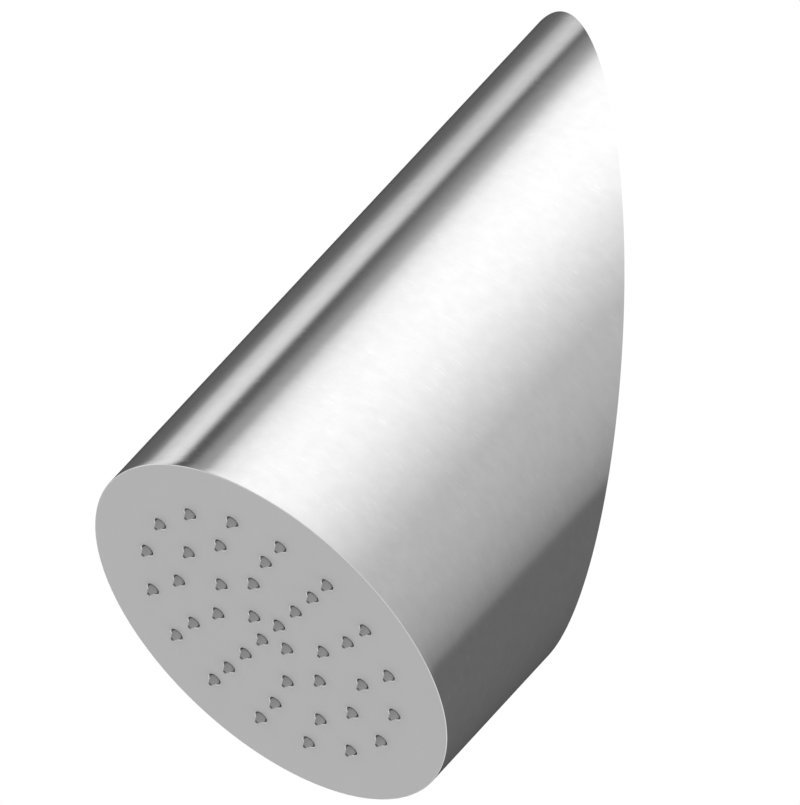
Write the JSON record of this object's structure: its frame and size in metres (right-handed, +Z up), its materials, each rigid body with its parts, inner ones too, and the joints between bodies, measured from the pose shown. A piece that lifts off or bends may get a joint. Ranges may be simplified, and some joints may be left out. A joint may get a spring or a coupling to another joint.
{
  "type": "overhead shower head",
  "caption": "Wall-mounted overhead shower head: a sloping stainless tube mitred to the wall, closed by a round spray plate with soft nozzles, on a bracket with a threaded inlet.",
  "frame": {"origin": "where the tube's axis meets the wall plane, on the bracket's back face", "axes": "+Y into the wall, +Z up, X level along the wall; the tube slopes down and out from the wall at 50 degrees"},
  "size_m": [0.115, 0.1356, 0.2178],
  "materials": {
    "brushed_stainless": "brushed round the tube",
    "fine_blasted_stainless": "fine satin",
    "plain_stainless": "as cut",
    "grey_silicone": "soft matte",
    "grey_moulding": "moulded",
    "white_moulding": "moulded",
    "machined_brass": "turned",
    "black_rubber": "moulded"
  },
  "bodies": {
    "root": {"body_shell": "brushed_stainless", "spray_plate": "fine_blasted_stainless", "nozzle_mat": "grey_silicone", "chamber_cover": "grey_moulding", "clamp_tabs": "plain_stainless", "flow_regulator": "white_moulding", "inlet_strainer": "plain_stainless", "angle_connector": "machined_brass", "spigot_seal": "black_rubber", "union_nut": "machined_brass", "union_gasket": "black_rubber", "supply_nipple": "machined_brass", "wall_bracket": "plain_stainless", "lock_nut": "plain_stainless", "set_screw": "plain_stainless"}
  },
  "joints": []
}
